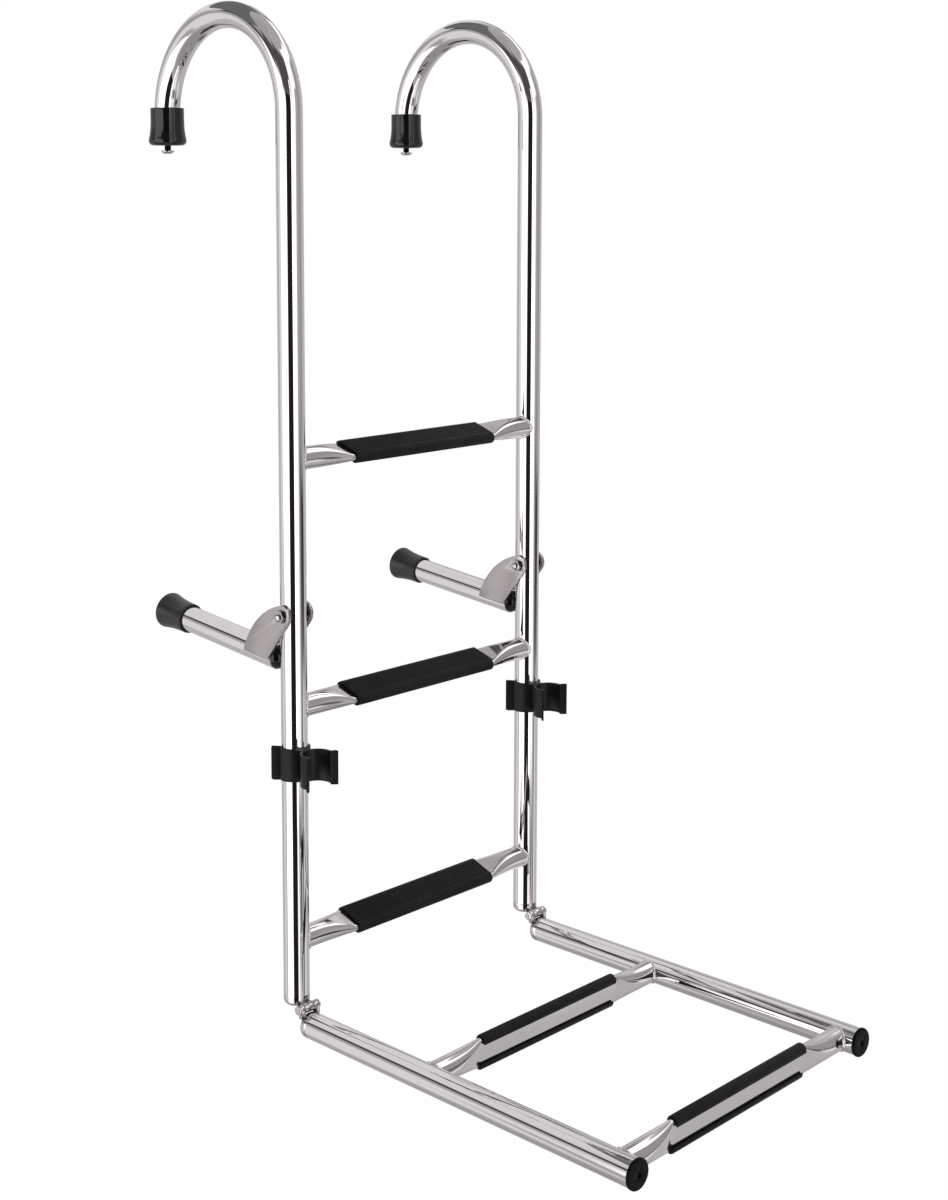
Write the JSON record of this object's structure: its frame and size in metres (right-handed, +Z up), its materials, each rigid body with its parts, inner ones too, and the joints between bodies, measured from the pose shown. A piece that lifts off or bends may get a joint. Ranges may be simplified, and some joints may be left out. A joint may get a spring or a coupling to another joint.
{
  "type": "folding dock ladder",
  "caption": "Folding stainless tube ladder with hooked rails, rubber-covered flat rungs, swing-out stand-offs and a hinged foot section held by clips when folded.",
  "frame": {"origin": "on the floor, under the middle of the whole ladder", "axes": "X across the ladder, +Y towards the dock (the hooks' side), +Z up"},
  "size_m": [0.371, 0.6338, 0.993],
  "materials": {
    "polished_steel": "mirror-polished stainless steel tube",
    "satin_steel": "satin stainless steel plate and castings",
    "gloss_rubber": "smooth glossy black rubber",
    "tread_rubber": "matt black ribbed rubber",
    "black_plastic": "satin black moulded plastic"
  },
  "bodies": {
    "upper_section": {"left_hook_cap": "gloss_rubber", "left_hook_stud": "satin_steel", "left_rail_clip": "black_plastic", "left_standoff_bolt": "satin_steel", "left_upper_hinge": "satin_steel", "left_upper_rail": "polished_steel", "right_hook_cap": "gloss_rubber", "right_hook_stud": "satin_steel", "right_rail_clip": "black_plastic", "right_standoff_bolt": "satin_steel", "right_upper_hinge": "satin_steel", "right_upper_rail": "polished_steel", "upper_rung_1": "polished_steel", "upper_rung_2": "polished_steel", "upper_rung_3": "polished_steel", "upper_tread_1": "tread_rubber", "upper_tread_2": "tread_rubber", "upper_tread_3": "tread_rubber"},
    "lower_section": {"left_end_plug": "black_plastic", "left_hinge_pin": "satin_steel", "left_lower_hinge": "satin_steel", "left_lower_rail": "polished_steel", "lower_rung_4": "polished_steel", "lower_rung_5": "polished_steel", "lower_tread_4": "tread_rubber", "lower_tread_5": "tread_rubber", "right_end_plug": "black_plastic", "right_hinge_pin": "satin_steel", "right_lower_hinge": "satin_steel", "right_lower_rail": "polished_steel"},
    "left_standoff": {"left_standoff_bracket": "satin_steel", "left_standoff_bumper": "gloss_rubber", "left_standoff_cap": "gloss_rubber", "left_standoff_tube": "polished_steel"},
    "right_standoff": {"right_standoff_bracket": "satin_steel", "right_standoff_bumper": "gloss_rubber", "right_standoff_cap": "gloss_rubber", "right_standoff_tube": "polished_steel"}
  },
  "joints": [
    {"name": "lower_section_fold", "type": "hinge", "parent": "upper_section", "child": "lower_section", "pos_m": [0, 0.09479, 0.02884], "axis": [1, 0, 0], "range_deg": [-88.2, 91.8]},
    {"name": "left_standoff_fold", "type": "hinge", "parent": "upper_section", "child": "left_standoff", "pos_m": [-0.1635, 0.11109, 0.41534], "axis": [1, 0, 0], "range_deg": [0, 85]},
    {"name": "right_standoff_fold", "type": "hinge", "parent": "upper_section", "child": "right_standoff", "pos_m": [0.1635, 0.11109, 0.41534], "axis": [1, 0, 0], "range_deg": [0, 85]}
  ]
}
